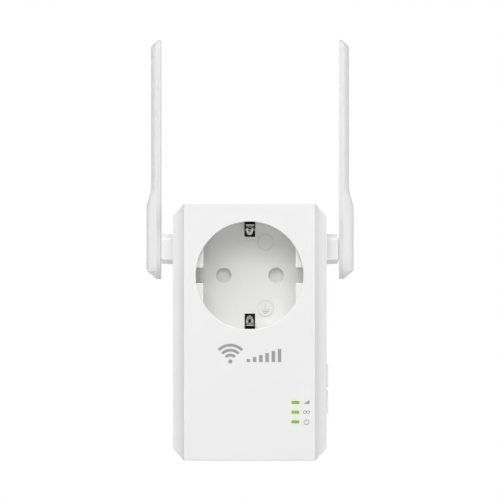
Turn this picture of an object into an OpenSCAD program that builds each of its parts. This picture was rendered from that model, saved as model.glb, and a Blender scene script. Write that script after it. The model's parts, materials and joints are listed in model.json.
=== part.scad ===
// Wi-Fi range extender: a housing that plugs into a wall socket, passes the mains
// through to a socket in its own front face, and carries two folding antennas.
// Millimetres. The origin is the centre of the plug's mating face, between its pins.
// +X is to the right as seen from the front, +Y points into the wall and +Z is up.

/* [Housing] */
// Width across the two side walls
body_w = 55.8; // [55.4:0.2:58]
// Height of the housing
body_h = 92.6; // [92:0.2:96]
// Depth from the flat front face to the flat back
body_d = 38; // [38:0.5:40]
// Height of the housing's top above the axis of the socket
body_top = 25.7; // [25.4:0.1:28]
// Width of the flat front face between its two sharp edges
face_w = 47.2; // [46:0.2:49]
// Depth of the front cover
cover_d = 14; // [13.5:0.5:14.5]
// Depth of the hollow side bands, which flare out from the front face to the side walls
band_d = 12; // [9:0.5:12.5]
// Width of the cuts across the four corners
corner_w = 3.9; // [3:0.1:4.2]
// Height of the cuts across the four corners
corner_h = 4.2; // [3:0.1:5]
// Radius of the front face's top and bottom edges
front_r = 0.4; // [0.3:0.1:1]
// Radius of the edges round the back
back_r = 2.5; // [1:0.1:4]
// Wall thickness of both shells
wall = 2; // [1.8:0.1:2.2]

/* [Socket] */
// Radius of the round recess
recess_r = 19.5; // [19.3:0.1:19.8]
// Depth of the recess below the front face
recess_d = 17.5; // [17:0.1:18]
// Distance between the two pin holes, and between the two plug pins
pin_pitch = 19; // [18.8:0.1:19.2]
// Radius of a pin hole
pin_hole_r = 2.75; // [2.6:0.05:2.9]
// Distance from the axis to the straight edge of each side ledge
ledge_x = 16.7; // [16.4:0.1:17.2]
// Height of the notch across each ledge
notch_h = 5.6; // [5:0.1:6]

/* [Plug] */
// Radius of the plug boss
plug_r = 18.5; // [18:0.1:18.6]
// Length of the plug boss
plug_d = 17.5; // [17:0.1:18]
// Radius of a plug pin
pin_r = 2.4; // [2.35:0.05:2.45]
// Length of a plug pin beyond the mating face
pin_len = 19; // [18:0.5:20]

/* [Antennas] */
// Length of an antenna
antenna_len = 86.8; // [80:0.2:87]
// Width of the antenna's blade, front to back
blade_w = 15; // [13:0.5:16]
// Thickness of the antenna at its foot
foot_t = 5.3; // [5.2:0.05:6]
// Thickness of the blade above the step
blade_t = 3.6; // [3.5:0.05:4.2]
// Distance from the middle plane to the antenna's inner face
antenna_x = 32.4; // [32.1:0.05:33]
// Height of the hinge axis above the axis of the socket
pivot_z = 9.5; // [8:0.5:10]
// Height of the hinge axis above the antenna's lower end
foot_h = 10.8; // [10:0.1:12]

/* [Buttons and lights] */
// Height of a side button
button_h = 8.4; // [8:0.1:8.6]
// Distance between the centres of the two buttons
button_pitch = 9.6; // [9.5:0.05:10]
// How far a button stands out of the side wall
button_proud = 0.5; // [0.45:0.05:0.8]
// Height between two of the three lights
light_pitch = 3.5; // [3.2:0.1:3.8]
// Width of a light
light_w = 2.7; // [2:0.1:3]
// Height of a light
light_h = 1; // [0.8:0.1:1.3]

/* [Hidden] */
$fn = 48;
eps = 0.01;
big = 200;
gap = 0.1;

// Planes of the housing
back_y = -plug_d;
face_y = back_y - body_d;
split_y = face_y + cover_d;
body_bottom = body_top - body_h;
side_x = body_w / 2;
band_w = (body_w - face_w) / 2;
band_r = (band_d * band_d + band_w * band_w) / (2 * band_w);
lip_inset = 1.1;
rebate_inset = 1;
lip_len = 1.8;
rebate_len = 2;

// Planes of the socket
well_front_y = face_y + wall;
floor_y = face_y + recess_d;
floor_t = 2.5;
floor_back_y = floor_y + floor_t;
well_wall = 2;
ledge_y = face_y + 2.5;
hole_x = pin_pitch / 2;
window_w = 3.8;
window_z = 13.95;
mark_x = 5.7;
mark_z = 12;
mark_h = 0.2;
mark_line = 0.22;

// Shutter, on a post behind the floor of the well
post_r = 2;
post_len = 4;
shutter_y = floor_back_y + gap;
shutter_t = 2;
lobe_r = 3.3;
spring_r = 2.65;
spring_wire_r = 0.2;
spring_turns = 3;

// Mains contacts
bracket_y = floor_back_y + 4.4;
strip_t = 0.8;
carrier_y = bracket_y + strip_t + 0.2;
carrier_t = 3;
carrier_w = 34;
carrier_h = 39;
carrier_r = 11;
clip_y = carrier_y + carrier_t + 0.3;
carrier_post_x = 13.5;
carrier_post_z = 9.5;
tulip_r = 3.3;
tulip_bore_r = 2.5;
tulip_y = carrier_y - 1;
tulip_len = 12;
strap_x = 13.3;
strap_w = 5;
pin_root_r = 2.8;
pin_flange_r = 3.6;
pin_flange_t = 2;
boss_wall = 2;
mate_wall = 3;
boss_flange_r = 20.5;
boss_flange_t = 1.2;
boss_flat_x = 16.2;
boss_rib_h = 5;
earth_z = 17.4;
tongue_w = 2.6;
tongue_z = 14.6;
tongue_slot_w = 1;
neck_w = 2.6;
clip_w = 5;
earth_hole_z = 10;
earth_hole_r = 2.6;
sleeve_r = 3.8;
sleeve_bore_r = 3.1;

// Screws
housing_screw_at = [[-20.5, 19.5], [20.5, 19.5], [-20.5, -60.5], [20.5, -60.5]];
socket_screw_at = [[-18, 15.1], [18, 15.1], [-18, -15.1], [18, -15.1]];
board_screw_at = [[-20.5, -44], [8, -59], [0, -26.5]];
tube_r = 3.2;
cover_post_r = 2.6;
counterbore_r = 2.2;
seat_len = 3;
ear_y = face_y + 9.5;
ear_t = 2.5;

// Circuit boards
main_y = split_y + 2.9;
main_t = 1.2;
main_back_y = main_y + main_t;
main_top = -23;
main_bottom = -62.5;
main_x = 24;
power_t = 1.6;
power_back_y = back_y - wall - 1;
power_y = power_back_y - power_t;
power_top = -23.5;
power_x = 16.8;
peg_at = [[-14, -59.5], [14.5, -59.5], [4, -25.5]];
header_at = [10, -52];
header_pitch = 2;

// Ethernet jack, open downwards
jack_x = -9;
jack_w = 16;
jack_d = 13.4;
jack_h = 20.5;
jack_bottom = body_bottom + 0.2;
jack_mouth_w = 11.8;
jack_mouth_d = 6.9;
jack_mouth_h = 14;

// Lights and their signs
light_x = 16.6;
light_top_z = -45.9;
sign_x = 20.6;
ink_t = 0.05;

// Buttons, one above the other on the right-hand wall
button_y = main_back_y + 1.75;
button_w = 4.4;
button_mid_z = -41.25;
pair_z = button_mid_z + button_pitch / 2;
reset_z = button_mid_z - button_pitch / 2;
button_play = 0.12;
flange_lip = 0.8;
flange_t = 0.9;
travel = 0.4;
switch_d = 3.5;
plunger_r = 0.9;

// Antennas and their hinges
pivot_y = (split_y + back_y) / 2 - 1.5;
knuckle_end_x = antenna_x - 0.45;
knuckle_w = 14;
knuckle_h = 10.6;
knuckle_root = 0.6;
knuckle_cut = [2, 1.7];
pad_inset = 1;
pad_gap = 0.12;
blade_bottom = pivot_z - foot_h;
blade_top = blade_bottom + antenna_len;
inner_t = 1.7;
inner_cut = 2;
skin = 1;
foot_r = 6.5;
foot_cut = 3;
tip_r = 3;
tip_cut = 2.3;
tip_t = 1.2;
step_z = 25.1;
step_mid_z = 29.2;
step_top_z = 33.4;
step_mid_t = blade_t + 0.29 * (foot_t - blade_t);
disc_r = 3.3;
shaft_r = 2.5;
shaft_bore_r = 0.9;
shaft_end_x = 23.8;
clip_x = 24.55;
clip_t = 0.75;
washer_t = 0.5;
coax_r = 0.55;
coax_x = 22;
coax_end_z = -25.5;
coax_bend = 3;

// Colours
cover_white = [0.93, 0.93, 0.93];
well_white = [0.89, 0.89, 0.89];
ink_grey = [0.6, 0.6, 0.6];
light_green = [0.58, 0.78, 0.3];
metal = [0.75, 0.75, 0.76];
brass = [0.8, 0.68, 0.4];
dark_plastic = [0.15, 0.15, 0.16];
board_green = [0.1, 0.4, 0.25];
ferrite_grey = [0.25, 0.25, 0.27];
tape_yellow = [0.9, 0.8, 0.3];

// ---- Shared shapes ----

module block(low, high) {
    translate(low) cube(high - low);
}

// A flat outline in x and z, drawn out along y
module along_y(from, to) {
    translate([0, to, 0]) rotate([90, 0, 0]) linear_extrude(height = to - from) children();
}

// A flat outline in y and z, drawn out along x
module along_x(from, to) {
    translate([from, 0, 0]) rotate([90, 0, 90]) linear_extrude(height = to - from) children();
}

module rod_y(r, from, to, at = [0, 0]) {
    translate([at[0], to, at[1]]) rotate([90, 0, 0]) cylinder(r = r, h = to - from);
}

module rod_x(r, from, to, at) {
    translate([from, at[0], at[1]]) rotate([0, 90, 0]) cylinder(r = r, h = to - from);
}

module at_y(y, at) {
    translate([at[0], y, at[1]]) children();
}

// What a rounded corner of radius r takes off a square corner at the origin, inside being +x and +y
module corner_waste(r) {
    difference() {
        translate([-1, -1]) square(r + 1);
        translate([r, r]) circle(r);
    }
}

// A rectangle w by h about the origin with its corners rounded to r
module rounded(w, h, r) {
    difference() {
        square([w, h], center = true);
        for (i = [-1, 1], j = [-1, 1]) scale([i, j]) translate([-w / 2, -h / 2]) corner_waste(r);
    }
}

module mirrored_x() {
    children();
    mirror([1, 0, 0]) children();
}

// A tube of radius r swept along a list of points
function unit(v) = v / norm(v);
function heading(p, i) = unit(p[min(i + 1, len(p) - 1)] - p[max(i - 1, 0)]);
module swept(p, r, sides = 8) {
    rings = [for (i = [0:len(p) - 1])
        let (t = heading(p, i), u = unit(cross(t, [0.13, 0.31, 0.94])), v = cross(t, u))
        for (k = [0:sides - 1]) p[i] + r * (cos(360 * k / sides) * u + sin(360 * k / sides) * v)];
    last = (len(p) - 1) * sides;
    polyhedron(points = rings, faces = concat(
        [[for (k = [0:sides - 1]) k]],
        [for (i = [0:len(p) - 2], k = [0:sides - 1], half = [0, 1])
            let (a = i * sides + k, b = i * sides + (k + 1) % sides)
            half == 0 ? [a, b + sides, b] : [a, a + sides, b + sides]],
        [[for (k = [sides - 1:-1:0]) last + k]]
    ));
}

// A pan-head screw that points towards -y, its head's underside at y, with a crossed recess
module pan_screw(y, at, head_r, head_h, shank_r, length) {
    difference() {
        union() {
            rod_y(head_r, y, y + head_h, at);
            rod_y(shank_r, y - length, y + eps, at);
        }
        for (turn = [0, 90]) at_y(y + head_h, at) rotate([0, turn, 0])
            cube([head_r * 1.2, head_h, head_r * 0.28], center = true);
    }
}

// ---- Housing ----

// How long a corner cut of legs a and b is along a, on an outline moved in by inset
function cut_leg(a, b, inset) = a + inset * (a * norm([1 / a, 1 / b]) - a / b - 1);

// The outline seen from the front: a rectangle with its corners cut
module front_outline(inset) {
    x = side_x - inset;
    top = body_top - inset;
    bottom = body_bottom + inset;
    cx = cut_leg(corner_w, corner_h, inset);
    cz = cut_leg(corner_h, corner_w, inset);
    polygon([
        [x - cx, bottom], [x, bottom + cz], [x, top - cz], [x - cx, top],
        [cx - x, top], [-x, top - cz], [-x, bottom + cz], [cx - x, bottom]
    ]);
}

// The outline seen from above: straight sides behind, and in front hollow bands that meet the face squarely
module plan_outline(inset) {
    x = side_x - inset;
    r = back_r - inset;
    difference() {
        translate([-x, face_y + inset]) square([2 * x, body_d - 2 * inset]);
        for (side = [-1, 1]) scale([side, 1]) {
            translate([face_w / 2 + band_r, face_y]) circle(band_r + inset, $fn = 180);
            if (r > 0) translate([-x, back_y - inset]) scale([1, -1]) corner_waste(r);
        }
    }
}

// The outline seen from the side: rounded front and back edges
module side_outline(inset) {
    difference() {
        translate([face_y + inset, body_bottom + inset])
            square([body_d - 2 * inset, body_h - 2 * inset]);
        for (edge = [[body_bottom + inset, 1], [body_top - inset, -1]]) {
            if (front_r > inset) translate([face_y + inset, edge[0]]) scale([1, edge[1]])
                corner_waste(front_r - inset);
            if (back_r > inset) translate([back_y - inset, edge[0]]) scale([-1, edge[1]])
                corner_waste(back_r - inset);
        }
    }
}

module housing_form(inset) {
    intersection() {
        along_y(face_y + inset, back_y - inset) front_outline(inset);
        translate([0, 0, body_bottom - 1]) linear_extrude(height = body_h + 2)
            plan_outline(inset);
        along_x(-side_x - 1, side_x + 1) side_outline(inset);
    }
}

module y_slab(from, to) {
    block([-big / 2, from, -big / 2], [big / 2, to, big / 2]);
}

module shell_part(from, to) {
    difference() {
        intersection() {
            housing_form(0);
            y_slab(from, to);
        }
        housing_form(wall);
    }
}

module front_cover() {
    color(cover_white) difference() {
        union() {
            shell_part(face_y - 1, split_y);
            difference() {
                along_y(split_y - 1, split_y + lip_len) front_outline(lip_inset);
                along_y(split_y - 2, split_y + lip_len + 1) front_outline(wall);
            }
            for (at = housing_screw_at) rod_y(cover_post_r, well_front_y - eps, split_y - gap, at);
            for (at = socket_screw_at) rod_y(2.2, well_front_y - eps, ear_y, at);
            for (at = board_screw_at) rod_y(2.2, well_front_y - eps, main_y, at);
        }
        rod_y(recess_r, face_y - 1, well_front_y + eps);
        rod_y(recess_r + well_wall, well_front_y, ear_y);
        for (i = [0:2]) translate([light_x, face_y, light_top_z - i * light_pitch])
            cube([light_w + 0.1, 3 * wall, light_h + 0.1], center = true);
        for (at = housing_screw_at) rod_y(0.95, split_y - 10, split_y, at);
        for (at = socket_screw_at) rod_y(0.85, ear_y - 6, ear_y + 1, at);
        for (at = board_screw_at) rod_y(0.85, main_y - 8, main_y + 1, at);
    }
}

// A slice of the hinge knuckle, with its four corners cut flat, made larger all round by extra
module knuckle_slice(x, extra) {
    w = (knuckle_w + extra) / 2;
    h = (knuckle_h + extra) / 2;
    translate([0, pivot_y, pivot_z]) along_x(x, x + eps) polygon([
        [knuckle_cut[0] - w, -h], [w - knuckle_cut[0], -h], [w, knuckle_cut[1] - h], [w, h - knuckle_cut[1]],
        [w - knuckle_cut[0], h], [knuckle_cut[0] - w, h], [-w, h - knuckle_cut[1]], [-w, knuckle_cut[1] - h]
    ]);
}

// The knuckle, with a raised pad round the hinge that the antenna's flat face runs on
module knuckle() {
    hull() {
        knuckle_slice(side_x - 1, knuckle_root);
        knuckle_slice(knuckle_end_x - eps, 0);
    }
    translate([0, pivot_y, pivot_z]) along_x(knuckle_end_x - eps, antenna_x - pad_gap)
        rounded(knuckle_w - 2 * pad_inset, knuckle_h - 2 * pad_inset, 1);
}

module vents() {
    for (i = [-4.5:4.5]) translate([i * 3.6, pivot_y - 0.5, body_top])
        cube([1.5, 13, 3 * wall], center = true);
    for (i = [0:5]) translate([3.5 + i * 3, pivot_y - 0.5, body_bottom])
        cube([1.5, 13, 3 * wall], center = true);
}

module rear_shell() {
    color(cover_white) difference() {
        union() {
            shell_part(split_y, back_y + 1);
            mirrored_x() knuckle();
            for (at = housing_screw_at) rod_y(tube_r, split_y, back_y - 1, at);
            for (at = peg_at) {
                rod_y(1.8, power_back_y, back_y - 1, at);
                rod_y(0.9, power_y - 0.6, back_y - 1, at);
            }
        }
        along_y(split_y - 1, split_y + rebate_len) front_outline(rebate_inset);
        along_y(back_y - wall - 1, back_y + 1) boss_outline(-0.05, true);
        mirrored_x() {
            rod_x(shaft_r + 0.05, side_x - 6, side_x + 6, [pivot_y, pivot_z]);
            rod_x(disc_r + 0.1, knuckle_end_x - eps, side_x + 6, [pivot_y, pivot_z]);
        }
        for (at = housing_screw_at) {
            rod_y(1.2, split_y - 1, back_y, at);
            rod_y(counterbore_r, split_y + seat_len, back_y + 1, at);
        }
        for (z = [pair_z, reset_z]) translate([side_x, button_y, z])
            cube([3 * wall, button_w + 2 * button_play, button_h + 2 * button_play], center = true);
        block([jack_x - jack_w / 2 - 0.2, main_back_y - 0.2, body_bottom - 1],
            [jack_x + jack_w / 2 + 0.2, main_back_y + jack_d + 0.2, body_bottom + wall + 1]);
        translate([0, back_y, -43]) cube([36.4, 0.3, 28.4], center = true);
        vents();
    }
}

// The boss's outline: a round with flats, each flat with a rib back out to the round
module boss_outline(inset, rib) {
    intersection() {
        circle(plug_r - inset, $fn = 96);
        union() {
            square([2 * (boss_flat_x - inset), 2 * plug_r], center = true);
            if (rib) square([2 * plug_r, boss_rib_h], center = true);
        }
    }
}

// The plug boss: set in the rear shell's back, with a flange behind that wall
module plug_boss() {
    color(cover_white) difference() {
        union() {
            along_y(back_y - wall - 1, 0) boss_outline(0, true);
            rod_y(boss_flange_r, back_y - wall - boss_flange_t, back_y - wall);
        }
        along_y(back_y - wall - boss_flange_t - 1, -mate_wall) boss_outline(boss_wall, false);
        for (side = [-1, 1]) {
            rod_y(pin_root_r + 0.05, -mate_wall - 1, 1, [side * hole_x, 0]);
            block([-clip_w / 2 - 0.2, back_y - wall - boss_flange_t - 1, side * (earth_z + 0.6) - 0.8],
                [clip_w / 2 + 0.2, back_y + 1, side * (earth_z + 0.6) + 0.8]);
            block([-clip_w / 2 - 0.2, back_y - wall, side * (earth_z + 0.8) - 1],
                [clip_w / 2 + 0.2, -0.8, side * (earth_z + 0.8) + 1]);
        }
        rod_y(earth_hole_r, -mate_wall - 1, 1, [0, earth_hole_z]);
    }
}

module housing_screws() {
    color(metal) for (at = housing_screw_at)
        pan_screw(split_y + seat_len, at, 1.9, 1.4, 0.9, 11.4);
}

module rating_label() {
    color([0.8, 0.81, 0.82]) translate([0, back_y - 0.09, -43]) cube([36, 0.12, 28], center = true);
}

// A ring of ink, or the part of one between two angles counted from straight up
module ink_arc(r, t, half_angle) {
    intersection() {
        difference() {
            circle(r + t / 2);
            circle(r - t / 2);
        }
        if (half_angle < 90) polygon([
            [0, 0], 3 * r * [-sin(half_angle), cos(half_angle)], [0, 3 * r],
            3 * r * [sin(half_angle), cos(half_angle)]
        ]);
        else if (half_angle < 180) difference() {
            square(4 * r, center = true);
            translate([0, r]) square([2 * r * cos(half_angle - 90) * 0.75, 2 * r], center = true);
        }
        else square(4 * r, center = true);
    }
}

// The large sign: a radio fan and a row of rising bars
module large_sign() {
    translate([-6.9, -31.1]) {
        circle(0.75);
        for (r = [2.3, 4.1, 5.9]) ink_arc(r, 1, 46);
    }
    for (i = [0:5]) translate([-1 + i * 2.25, -31.3]) square([1.25, 1.1 + 0.72 * i]);
}

// The small signs beside the lights: signal, pairing and power
module small_signs() {
    translate([sign_x - 1.1, light_top_z - 0.5]) polygon([[0, 0], [2.2, 0], [2.2, 1.45]]);
    translate([sign_x, light_top_z - light_pitch])
        for (side = [-1, 1]) translate([side * 0.62, 0]) ink_arc(0.5, 0.24, 180);
    translate([sign_x, light_top_z - 2 * light_pitch - 0.1]) {
        ink_arc(0.9, 0.24, 150);
        translate([-0.12, 0.2]) square([0.24, 1]);
    }
}

module front_print() {
    color(ink_grey) along_y(face_y - ink_t, face_y) {
        large_sign();
        small_signs();
    }
}

module light_pipe() {
    plate_y = well_front_y + gap;
    color(light_green) union() {
        for (i = [0:2]) block(
            [light_x - light_w / 2, face_y + 0.05, light_top_z - i * light_pitch - light_h / 2],
            [light_x + light_w / 2, main_y - 1.2, light_top_z - i * light_pitch + light_h / 2]);
        block([light_x - 2, plate_y, light_top_z - 2 * light_pitch - 1.4],
            [light_x + 2, plate_y + 1, light_top_z + 1.4]);
    }
}

// ---- Socket ----

// A side ledge: the segment of the recess beyond ledge_x, split by its notch
module ledge() {
    along_y(ledge_y, floor_y + eps) intersection() {
        circle(recess_r + 1, $fn = 96);
        for (side = [-1, 1]) scale([1, side])
            translate([ledge_x, notch_h / 2]) square([8, recess_r]);
    }
}

// A ring with the sign for protective earth, or a plain ring, standing off the floor
module floor_mark(at, earth) {
    along_y(floor_y - mark_h, floor_y + eps) translate(at) {
        ink_arc(2.85, mark_line, 180);
        if (earth) {
            translate([-mark_line / 2, -0.3]) square([mark_line, 2]);
            for (i = [0:2]) translate([0, -0.4 - 0.65 * i]) square([3.4 - i, mark_line], center = true);
        }
    }
}

module socket_well() {
    color(well_white) difference() {
        union() {
            difference() {
                rod_y(recess_r + well_wall, well_front_y, floor_back_y);
                rod_y(recess_r, well_front_y - 1, floor_y);
            }
            mirrored_x() ledge();
            floor_mark([mark_x, -mark_z], true);
            floor_mark([mark_x, mark_z], false);
            for (at = socket_screw_at) intersection() {
                along_y(ear_y, ear_y + ear_t) union() {
                    translate(at) circle(2.3);
                    rotate(atan2(at[1], at[0])) translate([recess_r, -2]) square([norm(at) - recess_r, 4]);
                }
                y_slab(ear_y, ear_y + ear_t);
            }
            rod_y(post_r, floor_back_y - 1, floor_back_y + post_len);
            for (side = [-1, 1])
                rod_y(2.2, floor_back_y - 1, carrier_y, side * [carrier_post_x, carrier_post_z]);
        }
        for (side = [-1, 1]) {
            rod_y(pin_hole_r, floor_y - 1, floor_back_y + 1, [side * hole_x, 0]);
            block([-window_w / 2, floor_y - 1, side > 0 ? window_z : -recess_r],
                [window_w / 2, floor_back_y + 1, side > 0 ? recess_r : -window_z]);
            rod_y(0.85, carrier_y - 5, carrier_y + 1, side * [carrier_post_x, carrier_post_z]);
        }
        for (at = socket_screw_at) rod_y(1, ear_y - 1, ear_y + ear_t + 1, at);
    }
}

module socket_screws() {
    color(metal) for (at = socket_screw_at) pan_screw(ear_y + ear_t, at, 1.7, 1.2, 0.8, 7.5);
}

module shutter() {
    color(well_white) difference() {
        union() {
            rod_y(post_r + 1.8, shutter_y, shutter_y + shutter_t);
            for (side = [-1, 1]) rod_y(lobe_r, shutter_y, shutter_y + shutter_t, [side * hole_x, 0]);
            block([-hole_x, shutter_y, -2.2], [hole_x, shutter_y + shutter_t, 2.2]);
            rod_y(0.5, shutter_y + 1, shutter_y + shutter_t + 1, [spring_r + 1.4, 0]);
        }
        rod_y(post_r + 0.05, shutter_y - 1, shutter_y + shutter_t + 1);
    }
}

module shutter_spring() {
    steps = 14;
    rise = (post_len - shutter_t - 0.9) / (spring_turns * steps);
    start = shutter_y + shutter_t + spring_wire_r + 0.1;
    color(metal) swept([for (i = [0:spring_turns * steps])
        [spring_r * cos(360 * i / steps), start + rise * i, spring_r * sin(360 * i / steps)]],
        spring_wire_r, 6);
}

module contact_carrier() {
    color(dark_plastic) difference() {
        along_y(carrier_y, carrier_y + carrier_t) rounded(carrier_w, carrier_h, carrier_r);
        for (side = [-1, 1]) {
            translate([0, carrier_y, side * (earth_z + strip_t / 2)])
                cube([neck_w + 0.4, 3 * carrier_t, strip_t + 0.4], center = true);
            rod_y(tulip_r + 0.1, carrier_y - 1, carrier_y + carrier_t + 1, [side * hole_x, 0]);
            block([side * strap_x - 0.6, carrier_y - 1, -strap_w / 2 - 0.2],
                [side * strap_x + 0.6, carrier_y + carrier_t + 1, strap_w / 2 + 0.2]);
            rod_y(1, carrier_y - 1, carrier_y + carrier_t + 1, side * [carrier_post_x, carrier_post_z]);
        }
    }
}

module carrier_screws() {
    color(metal) for (side = [-1, 1])
        pan_screw(carrier_y + carrier_t, side * [carrier_post_x, carrier_post_z], 1.7, 1.2, 0.8, 7);
}

// One mains contact, on the +x side: a slit tulip, a strap back to the plug and an eye round the pin's root
module mains_contact() {
    eye_y = -mate_wall - pin_flange_t - 1;
    color(brass) difference() {
        union() {
            rod_y(tulip_r, tulip_y, tulip_y + tulip_len, [hole_x, 0]);
            block([hole_x, tulip_y + tulip_len - 3, -strap_w / 2],
                [strap_x + strip_t / 2, tulip_y + tulip_len - 2.2, strap_w / 2]);
            block([strap_x - strip_t / 2, tulip_y, -strap_w / 2],
                [strap_x + strip_t / 2, eye_y + strip_t, strap_w / 2]);
            block([hole_x, eye_y, -strap_w / 2], [strap_x, eye_y + strip_t, strap_w / 2]);
            rod_y(3.2, eye_y, eye_y + strip_t, [hole_x, 0]);
        }
        rod_y(tulip_bore_r, tulip_y - 1, tulip_y + tulip_len + 1, [hole_x, 0]);
        rod_y(2, eye_y - 1, eye_y + 1.5, [hole_x, 0]);
        block([hole_x - 5, tulip_y - 1, -0.4], [hole_x + 2.4, tulip_y + 8, 0.4]);
        block([hole_x - 0.4, tulip_y - 1, -5], [hole_x + 0.4, tulip_y + 8, 5]);
    }
}

module live_contact() {
    mains_contact();
}

module neutral_contact() {
    mirror([1, 0, 0]) mains_contact();
}

// A tongue seen from the front: full width at the recess wall, narrower at its round nose, with an oval slot
module tongue_outline() {
    nose_r = 1.1;
    shoulder_z = tongue_z + 1.8;
    slot_low = tongue_z + 1.7;
    slot_len = 1.7;
    difference() {
        union() {
            translate([0, tongue_z + nose_r]) circle(nose_r);
            polygon([
                [-nose_r, tongue_z + nose_r], [-tongue_w / 2, shoulder_z], [-tongue_w / 2, recess_r],
                [tongue_w / 2, recess_r], [tongue_w / 2, shoulder_z], [nose_r, tongue_z + nose_r]
            ]);
        }
        for (z = [0, slot_len]) translate([0, slot_low + z]) circle(tongue_slot_w / 2);
        translate([-tongue_slot_w / 2, slot_low]) square([tongue_slot_w, slot_len]);
    }
}

// The same tongue from the side: straight through its window, then sloping in to a bend and out to a tip
module tongue_profile() {
    sheet = 0.7;
    foot_y = floor_y - 0.7;
    bend_y = floor_y - 8;
    tip_y = floor_y - 11;
    polygon([
        [bracket_y, earth_z + strip_t], [bracket_y, earth_z], [foot_y, earth_z],
        [bend_y + 0.6, tongue_z], [bend_y - 0.6, tongue_z], [tip_y, tongue_z + 2],
        [tip_y + 0.5, tongue_z + 2 + 0.5], [bend_y - 0.35, tongue_z + sheet],
        [bend_y + 0.35, tongue_z + sheet], [foot_y + 0.3, earth_z + strip_t]
    ]);
}

// Half of the earth bracket: cross bar behind the carrier, sprung tongue in the recess and clip on the boss
module earth_half() {
    color(metal) union() {
        block([-clip_w / 2, clip_y, -eps], [clip_w / 2, clip_y + strip_t, earth_z + strip_t]);
        block([-neck_w / 2, bracket_y, earth_z], [neck_w / 2, clip_y + 1, earth_z + strip_t]);
        block([-clip_w / 2, clip_y, earth_z], [clip_w / 2, -1, earth_z + strip_t]);
        intersection() {
            along_x(-tongue_w / 2, tongue_w / 2) tongue_profile();
            along_y(floor_y - 12, bracket_y + strip_t) tongue_outline();
        }
    }
}

module earth_bracket() {
    earth_half();
    mirror([0, 0, 1]) earth_half();
}

// The sleeve that takes a wall socket's earth pin, with its foot on the bracket's bar
module earth_sleeve() {
    foot_y = clip_y + strip_t + 0.1;
    color(brass) union() {
        difference() {
            rod_y(sleeve_r, -16.5, -mate_wall, [0, earth_hole_z]);
            rod_y(sleeve_bore_r, -15.5, 0, [0, earth_hole_z]);
        }
        rod_y(1.2, foot_y, -16.4, [0, earth_hole_z]);
        block([-1.5, foot_y, earth_hole_z - 1], [1.5, foot_y + strip_t, earth_z - 0.6]);
        block([-1.5, foot_y, earth_z - 0.8], [1.5, foot_y + 3.5, earth_z]);
    }
}

module plug_pin() {
    color(brass) union() {
        rod_y(pin_r, 0, pin_len - pin_r, [hole_x, 0]);
        rod_y(pin_root_r, -mate_wall - eps, 0, [hole_x, 0]);
        at_y(pin_len - pin_r, [hole_x, 0]) sphere(r = pin_r);
        rod_y(pin_flange_r, -mate_wall - pin_flange_t, -mate_wall, [hole_x, 0]);
        rod_y(1.95, -mate_wall - pin_flange_t - 3, -mate_wall - pin_flange_t + eps, [hole_x, 0]);
    }
}

module plug_pin_left() {
    mirror([1, 0, 0]) plug_pin();
}

module plug_pin_right() {
    plug_pin();
}

// An insulated lead from the foot of a contact's strap down to the power board
module mains_lead(colour) {
    lead_r = 0.8;
    lead_y = power_y - 2.9;
    bend = 2;
    turn_z = power_top;
    color(colour) union() {
        translate([strap_x, lead_y, turn_z]) cylinder(r = lead_r, h = -strap_w / 2 - turn_z);
        translate([strap_x, lead_y + bend, turn_z]) rotate([90, 0, -90]) mirror([0, 1, 0])
            rotate_extrude(angle = 90) translate([bend, 0]) circle(lead_r);
        rod_y(lead_r, lead_y + bend, power_y, [strap_x, turn_z - bend]);
    }
}

module live_lead() {
    mains_lead([0.45, 0.25, 0.12]);
}

module neutral_lead() {
    mirror([1, 0, 0]) mains_lead([0.2, 0.35, 0.75]);
}

module insulation_barrier() {
    color([0.95, 0.93, 0.85]) difference() {
        block([-24.5, main_back_y + 1, -22.6], [24.5, power_back_y - 0.2, -21.9]);
        for (side = [-1, 1]) {
            translate([side * strap_x, power_y - 2.9, -30]) cylinder(r = 1.1, h = 20);
            translate([side * coax_x, pivot_y, -30]) cylinder(r = 1, h = 20);
        }
    }
}

// ---- Power supply ----

module power_board() {
    color(board_green) difference() {
        block([-power_x, power_y, main_bottom], [power_x, power_back_y, power_top]);
        for (at = peg_at) rod_y(1, power_y - 1, power_back_y + 1, at);
        for (i = [-1.5:1.5]) translate([header_at[0], power_y, header_at[1] + i * header_pitch])
            cube([0.8, 1, 0.8], center = true);
    }
}

// The transformer stands on the power board: an E-shaped core with the winding round its middle leg
core_x = [-16, 0];
core_z = [-43.5, -27.5];
core_y = [power_y - 12.5, power_y - 0.5];
core_leg = 3;

module transformer_core() {
    mid_x = (core_x[0] + core_x[1]) / 2;
    color(ferrite_grey) difference() {
        block([core_x[0], core_y[0] + 3, core_z[0]], [core_x[1], core_y[1] - 2, core_z[1]]);
        for (side = [-1, 1])
            translate([mid_x + side * 4, (core_y[0] + core_y[1]) / 2, (core_z[0] + core_z[1]) / 2])
                cube([3.6, 20, 10], center = true);
    }
}

module transformer_winding() {
    mid_x = (core_x[0] + core_x[1]) / 2;
    y0 = core_y[0];
    y1 = core_y[1];
    z0 = core_z[0] + core_leg;
    z1 = core_z[1] - core_leg;
    color(tape_yellow) difference() {
        block([mid_x - 5.7, y0, z0 + 0.1], [mid_x + 5.7, power_y, z1 - 0.1]);
        block([mid_x - 2.3, y0 + 2.9, z0 - 1], [mid_x + 2.3, y1 - 1.9, z1 + 1]);
    }
}

module bulk_capacitors() {
    color([0.12, 0.14, 0.2]) for (z = [-29.5, -38.5]) union() {
        rod_y(4, power_y - 12.5, power_y - 0.4, [7, z]);
        rod_y(1.5, power_y - 0.5, power_y, [7, z]);
    }
}

module output_capacitor() {
    color([0.1, 0.2, 0.14]) union() {
        rod_y(3.15, power_y - 11, power_y - 0.4, [4, -48]);
        rod_y(1.2, power_y - 0.5, power_y, [4, -48]);
    }
}

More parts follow.
